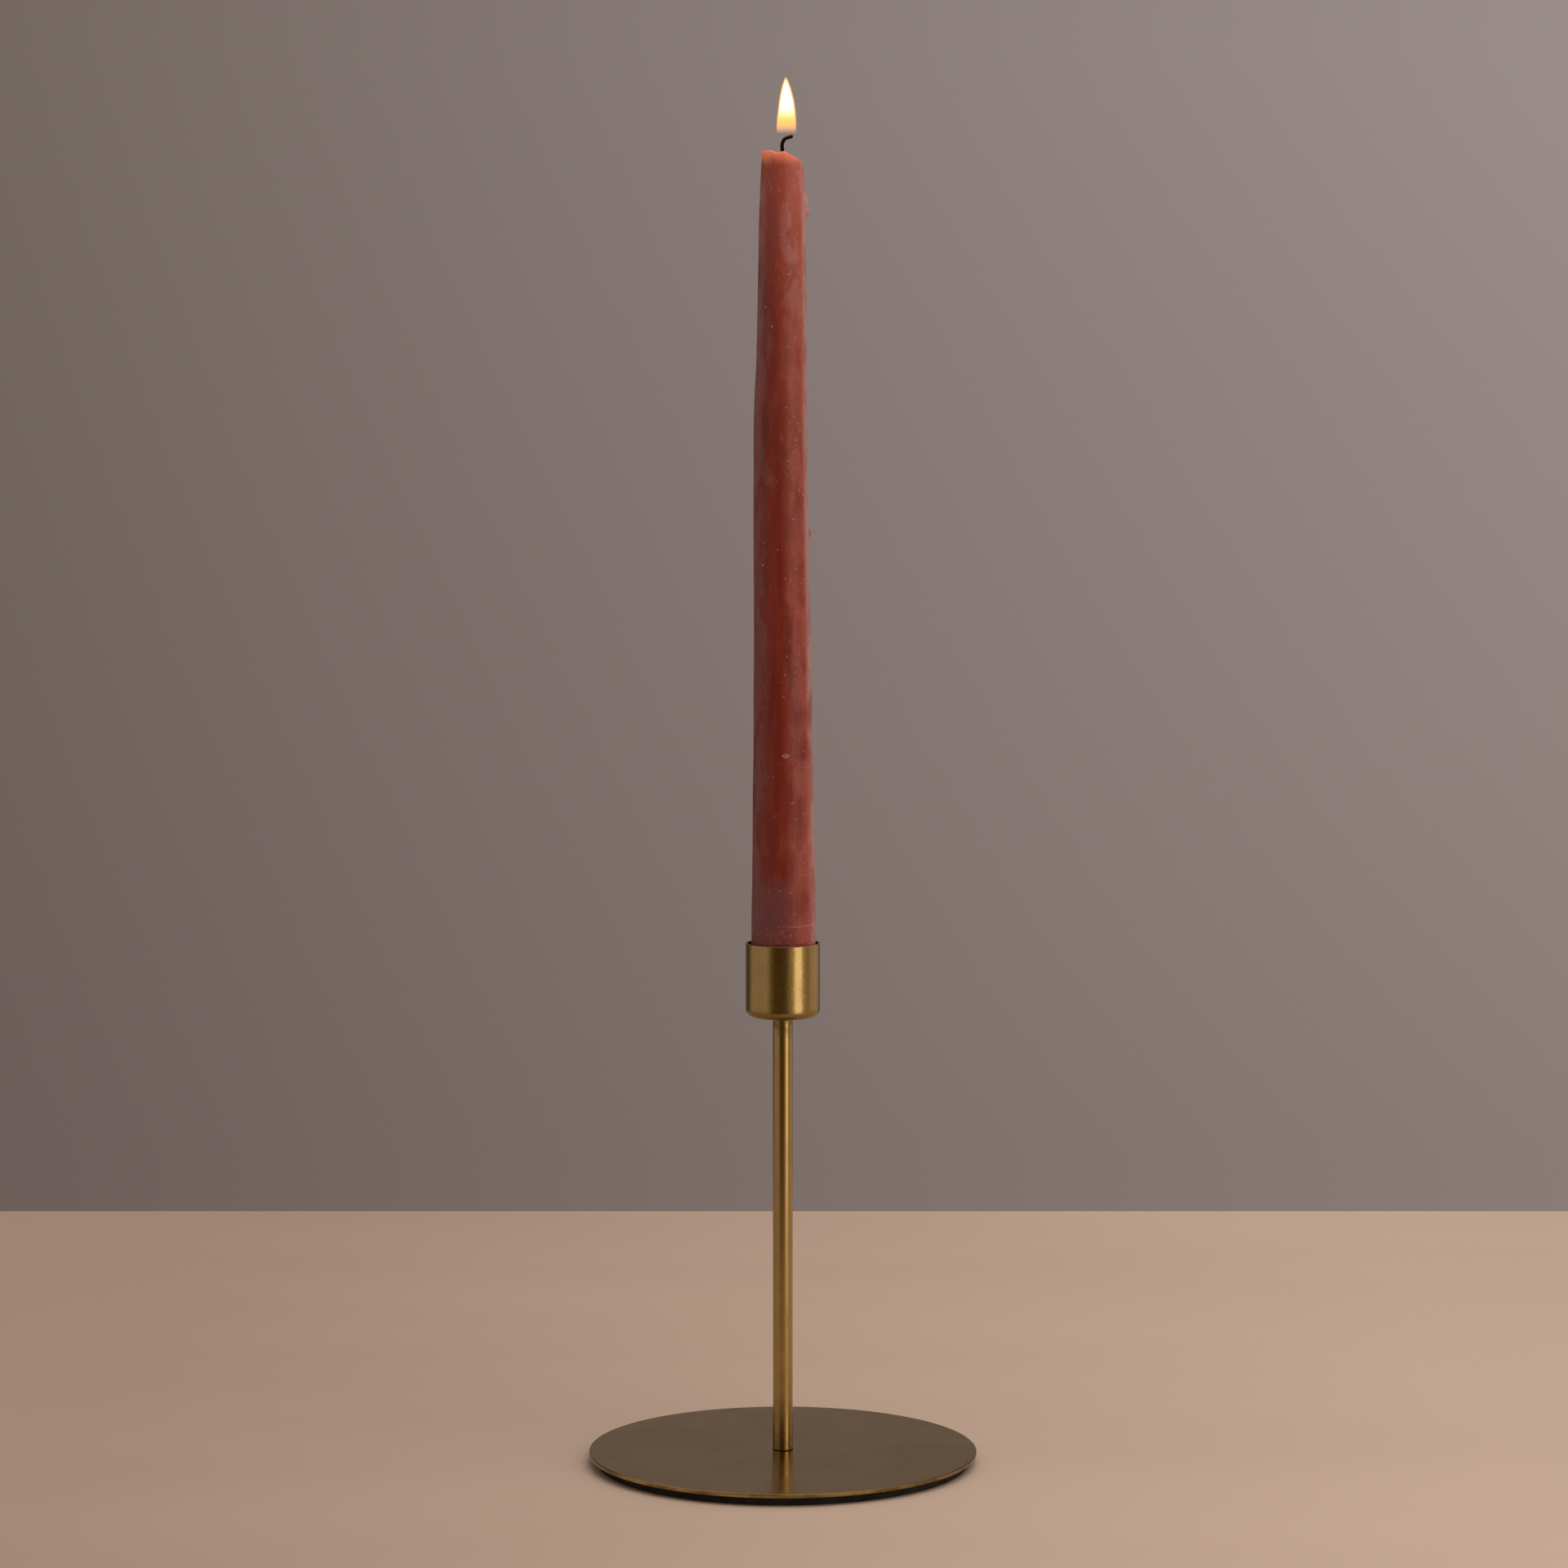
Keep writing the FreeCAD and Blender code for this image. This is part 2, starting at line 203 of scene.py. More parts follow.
def brushed_round(name, roughness, tarnish, ticks, waviness, stained=None, pitting=0.0, dark_edge=None):
    """Brass brushed round its axis: fine lines round the wall, short ticks, slight waves, soft tarnish.

    stained is (height where the stains start, height where they are full), in mm, for the end at a joint,
    with pits from 0 to 1; dark_edge is the same for an edge painted darker and olive, which on the cup is
    painted shade.
    """
    s = Shader(name)
    brushing = s.noise(0.35, s.on_wall(0.12, 2.4), detail=3, roughness=0.7)
    dashes = s.between(s.noise(0.60, s.on_wall(0.5, 1.6), detail=2, roughness=0.6), 0.48, 0.70)
    waves = s.noise(2.2, s.on_wall(0.9, 0.8), detail=3, roughness=0.6)
    dapples = s.noise(0.95, s.on_wall(0.8, 1.1), detail=2, roughness=0.5)
    clouds = s.noise(9, detail=5, roughness=0.6)
    scratches = s.between(s.noise(1.5, s.on_wall(3.2, 0.10), detail=1, roughness=0.4), 0.735, 0.78)
    colour = s.mix(s.between(clouds, 0.40, 0.75, 0.0, tarnish), BRASS, BRASS_DULL)
    colour = s.mix(s.times(dashes, 0.14 * ticks), colour, BRASS_DULL)
    colour = s.mix(s.times(scratches, 0.35), colour, BRASS_STAIN)
    rough = s.plus(s.between(brushing, 0.3, 0.7, roughness - 0.01, roughness + 0.02),
                   s.between(clouds, 0.4, 0.8, 0.0, 0.04), s.times(dashes, -0.06 * ticks))
    height = s.plus(s.times(brushing, 0.02 * ticks), s.times(dashes, -0.09 * ticks),
                    s.times(waves, waviness), s.times(dapples, 0.75 * waviness))
    # An edge painted darker and olive; at the cup's foot this is painted shade that dims its reflection of
    # the floor.
    if dark_edge:
        edge_darkening = s.between(s.plus(s.z, s.times(waves, 1.5)), *dark_edge)
        colour = s.mix(s.times(edge_darkening, 0.80), colour, BRASS_OLIVE)
    if stained:
        near = s.between(s.z, *stained)
        blotches = s.noise(1.6, s.on_wall(1.0, 0.6), detail=4)
        ragged = s.plus(s.cells(2.6), s.between(s.noise(0.7, detail=3), 0.3, 0.7, -0.12, 0.12))
        pits = s.times(s.between(ragged, 0.22, 0.12), near, pitting)
        stain = s.times(near, s.between(blotches, 0.36, 0.62, 0.12, 0.80))
        colour = s.mix(stain, colour, BRASS_BROWN)
        colour = s.mix(s.times(pits, 0.9), colour, BRASS_PIT)
        rough = s.plus(rough, s.times(stain, 0.22))
        height = s.plus(height, s.times(pits, -1.5))
    tangent = s.tree.nodes.new("ShaderNodeTangent")
    tangent.direction_type = "RADIAL"
    tangent.axis = "Z"
    s.link(tangent.outputs[0], s.bsdf.inputs["Tangent"])
    return s.set(base_color=colour, metallic=1.0, roughness=rough, normal=s.bump(height, 0.03, 0.8),
                 anisotropic=0.5, anisotropic_rotation=0.25)


def plate_brass(stem_radius, top):
    """Satin brass sheet: faint rolling lines, smudges, dust, a darker, rougher ring round the stem's foot,
    and a blotchy edge.

    The stem's radius and the height of the sheet's top are in mm.
    """
    s = Shader("brass_plate")
    distance = s.hypotenuse(s.x, s.y)
    rolling = s.noise(0.9, s.stretched((0.05, 2.4, 1.0)), detail=3, roughness=0.7)
    smudges = s.noise(26, detail=5, roughness=0.6, distortion=0.8)
    mottle = s.noise(3.5, detail=4)
    dust = s.between(s.cells(8.0), 0.030, 0.018)
    # A darker, rougher ring round the stem's foot.
    stem_foot_ring = s.between(s.plus(distance, s.times(mottle, 0.5)), stem_radius + 0.75, stem_radius + 0.30)
    colour = s.mix(s.between(smudges, 0.36, 0.66, 0.0, 0.45), BRASS_SHEET, BRASS_SHEET_DULL)
    colour = s.mix(s.between(mottle, 0.45, 0.8, 0.0, 0.14), colour, BRASS_SHEET_DULL)
    colour = s.mix(s.times(stem_foot_ring, 0.85), colour, FOOT_RING_DARK)
    edge = s.times(s.between(s.z, top - 0.12, top - 0.40), s.between(s.noise(15, detail=3), 0.38, 0.60))
    colour = s.mix(s.times(edge, 0.65), colour, BRASS_STAIN)
    colour = s.mix(dust, colour, DUST)
    rough = s.plus(s.between(smudges, 0.3, 0.7, 0.16, 0.24), s.between(rolling, 0.3, 0.7, -0.01, 0.02),
                   s.times(stem_foot_ring, 0.4))
    normal = s.bump(s.plus(rolling, s.times(mottle, 0.5)), 0.003, 0.4)
    return s.set(base_color=colour, metallic=s.math("SUBTRACT", 1.0, dust), roughness=rough, normal=normal)


def zinc_steel():
    """Plain zinc-plated steel for the screws and the washer."""
    s = Shader("zinc_steel")
    spangle = s.noise(1.2, detail=3)
    colour = s.mix(s.between(spangle, 0.35, 0.65), (0.52, 0.52, 0.54), (0.66, 0.65, 0.62))
    return s.set(base_color=colour, metallic=1.0, roughness=s.between(spangle, 0.3, 0.7, 0.28, 0.42),
                 normal=s.bump(s.noise(0.25), 0.01, 0.5))


def foam():
    """Black closed-cell foam: fine cells and a slight nap."""
    s = Shader("pad_foam")
    cells = s.cells(0.55)
    clouds = s.noise(6)
    colour = s.mix(s.between(clouds, 0.3, 0.7), (0.012, 0.012, 0.013), (0.030, 0.029, 0.028))
    return s.set(base_color=colour, roughness=s.between(cells, 0.1, 0.5, 0.95, 0.82),
                 normal=s.bump(cells, 0.10, 0.8), specular_ior_level=0.25)


# ---------------------------------------------------------------- wax, wick and flame

WAX_RED = (0.285, 0.033, 0.019)
WAX_DEEP = (0.185, 0.017, 0.010)
WAX_PINK = (0.46, 0.130, 0.100)
WAX_SALMON = (0.42, 0.098, 0.068)
WAX_MAUVE = (0.30, 0.155, 0.165)
WAX_LAVENDER = (0.50, 0.31, 0.33)
WAX_PEACH = (0.80, 0.25, 0.13)
WAX_HAZE = (0.50, 0.205, 0.215)
WAX_SCUFF = (0.19, 0.080, 0.088)
WAX_FLECK = (0.52, 0.20, 0.17)
WAX_CHIP = (0.75, 0.48, 0.42)
WAX_CRUMB = (0.10, 0.030, 0.030)
WAX_GLOW = (1.0, 0.25, 0.14)
PIT_RIM = (0.75, 0.50, 0.42)
PIT_HOLE_SHADE = (0.10, 0.020, 0.012)
# The chipped pit on the candle: place along X and height, in mm.
PIT = (1.0, 248.1)


def wax(top, rim):
    """Red dipped wax between the cup's rim and the lit top, both heights in mm.

    Soft lighter and deeper red, deeper on the -X side as painted shade and lighter towards the top and +X as
    painted light, patches of pale bloom, mostly on the -X side, paler edges that are painted sheen and partly
    bloom, faint upright scratches, specks, one chipped pit with painted shade in its hole, a scuffed purplish
    band by the rim, and a painted warm glow under the flame.
    """
    s = Shader("wax")
    side = s.math("DIVIDE", s.x, s.hypotenuse(s.x, s.y))
    broad = s.noise(8.0, s.on_wall(1.0, 0.45), detail=5, roughness=0.55, distortion=0.6)
    streaks = s.noise(3.4, s.on_wall(1.0, 0.13), detail=4, roughness=0.5)
    scratches = s.noise(0.8, s.on_wall(1.0, 0.12), detail=3, roughness=0.65)
    smears = s.noise(5.5, s.on_wall(1.0, 0.55), detail=5, roughness=0.6, distortion=0.3)
    fine = s.noise(0.45, s.on_wall(1.0, 0.6), detail=3)

    # The red itself: deeper and lighter streaks; salmon towards the top and on +X, painted light from the
    # flame and the lamp;
    # deeper on the -X side, painted shade; pinker on +X, smears partly painted light.
    colour = s.mix(s.between(streaks, 0.26, 0.74), WAX_DEEP, WAX_RED)
    # Painted light: salmon rising towards the flame and stronger on +X, where the lamp falls.
    salmon_light = s.times(s.between(s.z, top - 165, top - 10, 0.0, 0.50), s.between(side, -0.8, 0.2, 0.25, 1.0))
    colour = s.mix(salmon_light, colour, WAX_SALMON)
    # Painted shade: the -X side, away from the lamp, is made deeper red.
    colour = s.mix(s.between(side, 0.0, -0.8, 0.0, 0.40), colour, WAX_DEEP)
    # Pink smears, with more pink on +X that is painted light from the lamp.
    pink_smears_and_light = s.plus(smears, s.between(side, -0.25, 0.75, -0.13, 0.15, smooth=False))
    colour = s.mix(s.between(pink_smears_and_light, 0.42, 0.76, 0.0, 0.46), colour, WAX_PINK)
    colour = s.mix(s.between(scratches, 0.56, 0.74, 0.0, 0.08), colour, WAX_PINK)

    # Pale bloom: patches on the -X side and a haze near the top on +X. A paler line down either side is
    # painted sheen, partly bloom.
    # All but the +X line fade out just below the lit top.
    left = s.plus(broad, s.between(side, -0.95, 0.10, 0.13, -0.26, smooth=False))
    bloom = s.times(s.between(left, 0.50, 0.62), s.between(smears, 0.3, 0.7, 0.18, 0.38),
                    s.between(s.z, top - 5, top - 14))
    colour = s.mix(bloom, colour, WAX_MAUVE)
    hazy = s.between(s.noise(5.5, s.on_wall(1.0, 0.35), detail=4, distortion=0.4), 0.50, 0.62)
    hazy_place = s.times(s.between(s.z, top - 80, top - 25), s.between(side, -0.3, 0.15, 0.1, 1.0))
    haze = s.times(hazy, hazy_place, s.between(s.z, top - 5, top - 13), 0.50)
    colour = s.mix(haze, colour, WAX_HAZE)
    # Painted sheen, partly bloom: pale lavender down the +X and -X edges.
    right_edge_sheen = s.times(s.between(side, 0.74, 0.97), s.between(broad, 0.40, 0.60, 0.16, 0.70))
    colour = s.mix(right_edge_sheen, colour, WAX_LAVENDER)
    left_edge_sheen = s.times(s.between(side, -0.66, -0.95), s.between(s.z, top - 150, top - 30, 0.10, 0.36),
                        s.between(s.z, top - 4, top - 16), s.between(broad, 0.36, 0.58, 0.25, 1.0))
    colour = s.mix(left_edge_sheen, colour, WAX_LAVENDER)

    # By the cup: a scuffed band, dark crumbs, lumps and a thin pale ring.
    scuffed = s.times(s.between(s.plus(s.z, s.times(smears, 12.0)), rim + 31, rim + 24),
                      s.between(side, 0.45, -0.05, 0.08, 1.0), s.between(fine, 0.3, 0.7, 0.35, 0.78))
    colour = s.mix(scuffed, colour, WAX_SCUFF)
    crumb_height = s.plus(s.z, s.times(smears, 2.0))
    crumbs = s.times(s.between(crumb_height, rim + 6.6, rim + 7.2),
                     s.between(crumb_height, rim + 9.6, rim + 8.6), s.between(side, 0.05, -0.15),
                     s.between(s.noise(0.55, s.on_wall(0.8, 1.2), detail=1), 0.54, 0.62))
    lumps = s.times(s.between(s.noise(1.3, s.on_wall(0.8, 1.2), detail=2), 0.45, 0.72),
                    s.between(s.z, rim + 7.5, rim + 5.5))
    ring_height = s.plus(s.z, s.times(smears, 1.6))
    ring = s.times(s.between(ring_height, rim + 7.2, rim + 7.5), s.between(ring_height, rim + 8.1, rim + 7.8),
                   s.between(s.plus(fine, s.times(side, 0.25)), 0.42, 0.70))

    # Small pale marks: flecks in groups, clustered specks and a few chips.
    flecks = s.times(s.between(s.noise(0.9, s.on_wall(1.0, 0.35), detail=4, roughness=0.65), 0.56, 0.64),
                     s.between(s.noise(14), 0.46, 0.58), s.between(s.z, rim + 95, rim + 160, 0.15, 1.0))
    clusters = s.plus(s.noise(11), s.between(side, -0.6, 0.5, -0.12, 0.06, smooth=False))
    specks = s.times(s.between(s.plus(s.cells(2.2), s.times(fine, 0.24)), 0.25, 0.20),
                     s.between(clusters, 0.44, 0.54))
    chips = s.between(s.plus(s.cells(9.0), s.times(fine, 0.05)), 0.075, 0.060)
    specks = s.math("MAXIMUM", specks, chips)
    colour = s.mix(s.times(flecks, 0.30), colour, WAX_FLECK)
    colour = s.mix(s.math("MAXIMUM", s.times(specks, 0.55), s.times(ring, 0.22)), colour, WAX_CHIP)
    colour = s.mix(s.times(lumps, 0.30), colour, WAX_PINK)
    colour = s.mix(s.times(crumbs, 0.50), colour, WAX_CRUMB)

    # The chipped pit: a pale ragged rim round a dark hole whose dark is painted shade, on the -Y side only.
    from_pit = s.hypotenuse(s.math("SUBTRACT", s.x, PIT[0]), s.math("SUBTRACT", s.z, PIT[1]))
    from_pit = s.plus(from_pit, s.between(s.noise(0.9, detail=3), 0.3, 0.7, -0.42, 0.42))
    facing = s.between(s.y, 0.5, -0.5)
    pit_ring = s.times(s.between(from_pit, 0.98, 0.85), facing)
    pit_hole = s.times(s.between(from_pit, 0.66, 0.52), facing)
    colour = s.mix(s.times(pit_ring, 0.60), colour, PIT_RIM)
    colour = s.mix(s.times(pit_hole, 0.85), colour, PIT_HOLE_SHADE)

    # Painted light from the flame: peach wax at the lit top, with a faint painted glow in it and below it.
    wavy_height = s.plus(s.z, s.times(broad, 7.0), s.times(side, -1.0))
    flame_lit_top = s.between(wavy_height, top - 2.5, top + 4.0)
    colour = s.mix(s.times(flame_lit_top, 0.80), colour, WAX_PEACH)
    warm = s.between(s.z, top - 55, top)
    glow = s.plus(s.times(s.math("POWER", flame_lit_top, 2.0), 0.20), s.times(warm, 0.060))

    height = s.plus(s.times(streaks, 0.6), s.times(smears, 0.8), s.times(specks, 0.6), s.times(fine, 0.12),
                    s.math("SUBTRACT", s.times(lumps, 0.8), s.times(crumbs, 0.5)),
                    s.math("SUBTRACT", s.times(pit_ring, 0.8), s.times(pit_hole, 1.6)))
    return s.set(base_color=colour, roughness=s.between(bloom, 0.0, 0.5, 0.46, 0.60),
                 normal=s.bump(height, 0.20, 0.7), ior=1.45, subsurface_weight=0.30,
                 subsurface_radius=(4 * MM, 1.0 * MM, 0.6 * MM), subsurface_scale=1.0,
                 emission_color=WAX_GLOW, emission_strength=glow)


def charred_wick(top, tip):
    """Braided cotton: pale inside the candle, charred black above the wax, and at its tip a dull red painted
    glow of the ember.
    """
    s = Shader("wick_cotton")
    char = s.between(s.z, top - 6, top - 3)
    # Painted glow: the tip is made dull red where the ember glows.
    ember_glow = s.between(s.x, tip - 1.1, tip - 0.3)
    fibres = s.noise(0.35, detail=4)
    colour = s.mix(s.between(fibres, 0.35, 0.7), (0.002, 0.001, 0.001), (0.009, 0.004, 0.0035))
    colour = s.mix(s.times(ember_glow, 0.7), colour, (0.11, 0.020, 0.012))
    colour = s.mix(char, (0.62, 0.40, 0.28), colour)
    return s.set(base_color=colour, roughness=0.9, normal=s.bump(fibres, 0.10, 0.8), specular_ior_level=0.15)


def flame_light(name, colour_stops, alpha_stops, strength, low, high):
    """A see-through glow whose colour and opacity follow the height, between two heights in mm."""
    s = Shader(name)
    rise = s.between(s.z, low, high, smooth=False)
    colour = s.ramp(rise, colour_stops)
    alpha = s.ramp(rise, alpha_stops)
    return s.set(base_color=(0, 0, 0), roughness=1.0, specular_ior_level=0.0, alpha=alpha,
                 emission_color=colour, emission_strength=strength)


# ---------------------------------------------------------------- mesh helpers

def height_of(node, end):
    """The lowest (0) or highest (1) point of a CAD node, in mm."""
    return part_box(node)[end].z / MM


def smooth_curve(stations, at):
    """A smooth value through a few (place, value) stations."""
    if at <= stations[0][0]:
        return stations[0][1]
    if at >= stations[-1][0]:
        return stations[-1][1]
    for k in range(len(stations) - 1):
        (x1, y1), (x2, y2) = stations[k], stations[k + 1]
        if at <= x2:
            x0, y0 = stations[max(k - 1, 0)]
            x3, y3 = stations[min(k + 2, len(stations) - 1)]
            slope1 = (y2 - y0) / (x2 - x0)
            slope2 = (y3 - y1) / (x3 - x1)
            span = x2 - x1
            u = (at - x1) / span
            return ((2 * u**3 - 3 * u**2 + 1) * y1 + (u**3 - 2 * u**2 + u) * span * slope1
                    + (3 * u**2 - 2 * u**3) * y2 + (u**3 - u**2) * span * slope2)


def add_piece(name, mesh, material):
    """Turns a finished bmesh into a piece of the scene."""
    data = bpy.data.meshes.new(name)
    mesh.to_mesh(data)
    mesh.free()
    piece = bpy.data.objects.new(name, data)
    bpy.context.scene.collection.objects.link(piece)
    data.materials.append(material)
    return piece


def mesh_from_rings(name, rings, material, closed_start=True):
    """A smooth piece skinned over rings of points. A fan closes its end and, by default, its start."""
    mesh = bmesh.new()
    rows = [[mesh.verts.new(point) for point in ring] for ring in rings]
    count = len(rows[0])
    for low, high in zip(rows, rows[1:]):
        for k in range(count):
            mesh.faces.new((low[k], low[(k + 1) % count], high[(k + 1) % count], high[k]))
    fans = [(rows[0], True)] if closed_start else []
    for row, flip in [*fans, (rows[-1], False)]:
        middle = mesh.verts.new(sum((v.co for v in row), Vector()) / count)
        for k in range(count):
            corner = (row[(k + 1) % count], row[k]) if flip else (row[k], row[(k + 1) % count])
            mesh.faces.new((*corner, middle))
    piece = add_piece(name, mesh, material)
    for face in piece.data.polygons:
        face.use_smooth = True
    return piece


def bell(distance, width):
    """1 at no distance, falling smoothly to 0 over about two widths."""
    return math.exp(-(distance / width) ** 2)


def round_axis(middle, radius, angle, height):
    """A point round an upright axis that stands at middle along X; the lengths are in mm."""
    return Vector((middle + radius * math.cos(angle), radius * math.sin(angle), height)) * MM


# ---------------------------------------------------------------- the candle

candle_low, candle_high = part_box("candle")
wick_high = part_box("wick")[1]
FOOT = candle_low.z / MM
TOP = candle_high.z / MM
WICK_TOP = wick_high.z / MM

# The dipped candle's radius, and how far its axis bows to +X, both in mm by height above its foot.
CANDLE_RADIUS = [(0, 11.2), (35, 10.97), (60, 10.6), (100, 10.1), (147, 9.6), (181, 9.28), (204, 9.05),
                 (222, 8.62), (240, 8.32), (259, 8.05), (276, 7.7), (288, 7.2), (294, 6.95)]
CANDLE_BOW = [(0, 0.25), (60, 0.2), (110, -0.05), (145, -0.4), (180, -0.75), (202, -0.85), (226, -0.5),
              (262, -0.25), (294, -0.2)]
# Wax runs and crumbs: height above the foot, direction in degrees from +X, how far out, half width
# and half height.
FRONT = -90
DRIPS = [(277.0, -5, 1.15, 1.1, 1.9), (275.2, -14, 0.75, 1.3, 2.2), (272.4, -4, 1.85, 1.1, 1.5),
         (244.8, 2, 0.70, 0.6, 0.9), (163.9, -2, 1.1, 0.6, 1.0), (162.4, -2, 0.8, 0.6, 0.7),
         (270.0, FRONT + 14, 0.22, 1.4, 5.0), (263.0, FRONT + 30, 0.20, 1.0, 3.0),
         (281.0, FRONT + 38, 0.25, 1.1, 7.0), (256.5, FRONT - 22, 0.18, 1.6, 2.5)]
# How far the burnt rim lies below its highest point, in mm by place across the candle.
TOP_DROP = [(-7.4, 0.02), (-5.0, 0.0), (-3.4, 0.12), (-1.9, 0.50), (-0.6, 0.42), (0.5, 0.22), (1.3, 0.55),
            (2.4, 1.15), (3.8, 1.95), (5.2, 2.65), (6.6, 3.7)]


def candle_wall(height, angle):
    """How far the wax stands from the bowed axis at a height above the foot, with its dents and runs."""
    radius = smooth_curve(CANDLE_RADIUS, height)
    around = Vector((math.cos(angle), math.sin(angle), 0))
    dents = noise.noise(around * 1.3 + Vector((0, 0, height * 0.035))) * 0.16
    ripples = noise.noise(around * 4.0 + Vector((7, 3, height * 0.11))) * 0.07
    crust = noise.noise(around * 9.0 + Vector((1, 9, height * 0.5))) * 0.022
    radius += dents + ripples + crust
    for at, degrees, out, half_width, half_height in DRIPS:
        arc = math.remainder(angle - math.radians(degrees), 2 * math.pi) * radius
        radius += out * bell(arc, half_width) * bell(height - at, half_height)
    return radius


def make_candle():
    """One closed skin: up the wall, over the burnt rim, down into the melted hollow to the wick."""
    around, step, wall_start = 144, 0.8, 1.6
    length = TOP - FOOT
    rings = []
    foot_bevel = [(0.0, 0.8), (0.3, 0.3), (0.9, 0.0)]
    heights = [height for height, _ in foot_bevel]
    rim_start = length - 6
    heights += [wall_start + step * k for k in range(int((rim_start - wall_start) / step))] + [rim_start]
    for height in heights:
        inset = smooth_curve(foot_bevel, height)
        bow = smooth_curve(CANDLE_BOW, height)
        ring = []
        for k in range(around):
            angle = 2 * math.pi * k / around
            radius = candle_wall(height, angle) - inset
            ring.append(round_axis(bow, radius, angle, FOOT + height))
        rings.append(ring)
    # From here the rings lean with the slanted rim: share of the radius, share of the rise, and depth.
    bow = smooth_curve(CANDLE_BOW, length)
    profile = [(1.0, 0.25, 0), (1.0, 0.5, 0), (1.0, 0.72, 0), (1.0, 0.88, 0), (0.995, 0.945, 0),
               (0.975, 0.985, 0), (0.945, 1.0, 0), (0.90, 1.0, 0), (0.85, 1.0, -0.10), (0.79, 1.0, -0.45),
               (0.72, 1.0, -0.95), (0.62, 1.0, -1.4), (0.48, 1.0, -1.75), (0.32, 1.0, -1.9),
               (0.18, 1.0, -1.8), (0.11, 1.0, -1.6)]
    for share, rise, depth in profile:
        ring = []
        for k in range(around):
            angle = 2 * math.pi * k / around
            rim_wall = candle_wall(rim_start, angle)
            rim = length - smooth_curve(TOP_DROP, rim_wall * math.cos(angle) * (share if depth == 0 else 0.9))
            ripple = noise.noise(Vector((math.cos(angle) * 2.2, math.sin(angle) * 2.2, 5.0))) * 0.22
            height = rim_start + (rim + ripple - rim_start) * rise + depth
            taper = smooth_curve(CANDLE_RADIUS, height) - smooth_curve(CANDLE_RADIUS, rim_start)
            radius = (rim_wall + taper) * share
            ring.append(round_axis(bow, radius, angle, FOOT + height))
        rings.append(ring)
    return mesh_from_rings("candle_wax", rings, wax(TOP, height_of("cup", 1)))


def make_wick():
    """The wick: straight up the candle, then a braid that stands in the hollow and bends over to +X."""
    bow = smooth_curve(CANDLE_BOW, TOP - FOOT)
    radius, bend_radius, bend_angle, tip = 0.62, 2.4, math.radians(72), 2.2
    bend_start = WICK_TOP - (bend_radius + radius) * math.sin(bend_angle) - tip * math.cos(bend_angle)
    hidden = TOP - 8
    path = [Vector((bow * min(1, k / 10), 0, FOOT + 0.5 + (hidden - FOOT) * k / 20)) for k in range(20)]
    path += [Vector((bow, 0, hidden + (bend_start - hidden) * k / 24)) for k in range(25)]
    for k in range(1, 19):
        turn = bend_angle * k / 18
        across, rise = bend_radius * (1 - math.cos(turn)), bend_radius * math.sin(turn)
        path.append(Vector((bow + across, 0, bend_start + rise)))
    end, heading = path[-1], Vector((math.sin(bend_angle), 0, math.cos(bend_angle)))
    path += [end + heading * tip * k / 12 for k in range(1, 13)]
    rounded_end = [0.97, 0.88, 0.68, 0.35]
    rings, around = [], 20
    for index, point in enumerate(path):
        ahead = path[min(index + 1, len(path) - 1)] - path[max(index - 1, 0)]
        ahead.normalize()
        side = Vector((0, 1, 0))
        up = side.cross(ahead)
        run = index * 0.32
        swell = 1.0 + 0.09 * noise.noise(Vector((run * 0.9, 0, 2)))
        from_end = index - (len(path) - len(rounded_end))
        if from_end >= 0:
            swell *= rounded_end[from_end]
        lean = Vector((0, 0, 0))
        if point.z > TOP - 3:
            wander = [noise.noise(Vector((run * 0.4, start, 1))) for start in (1, 5)]
            lean = Vector((*wander, 0)) * 0.16
        ring = []
        for k in range(around):
            angle = 2 * math.pi * k / around
            braid = 1.0 + 0.09 * math.sin(3 * angle + run * 2.2) * math.cos(2 * angle - run * 1.7)
            out = side * math.cos(angle) + up * math.sin(angle)
            ring.append((point + lean + out * radius * swell * braid) * MM)
        rings.append(ring)
    return mesh_from_rings("wick_braid", rings, charred_wick(TOP, wick_high.x / MM))


# The flame's radius in mm by share of its height.
FLAME_RADIUS = [(0.0, 3.12), (0.12, 3.10), (0.28, 2.95), (0.45, 2.68), (0.62, 2.24), (0.78, 1.58),
                (0.90, 0.92), (0.96, 0.50), (1.0, 0.10)]


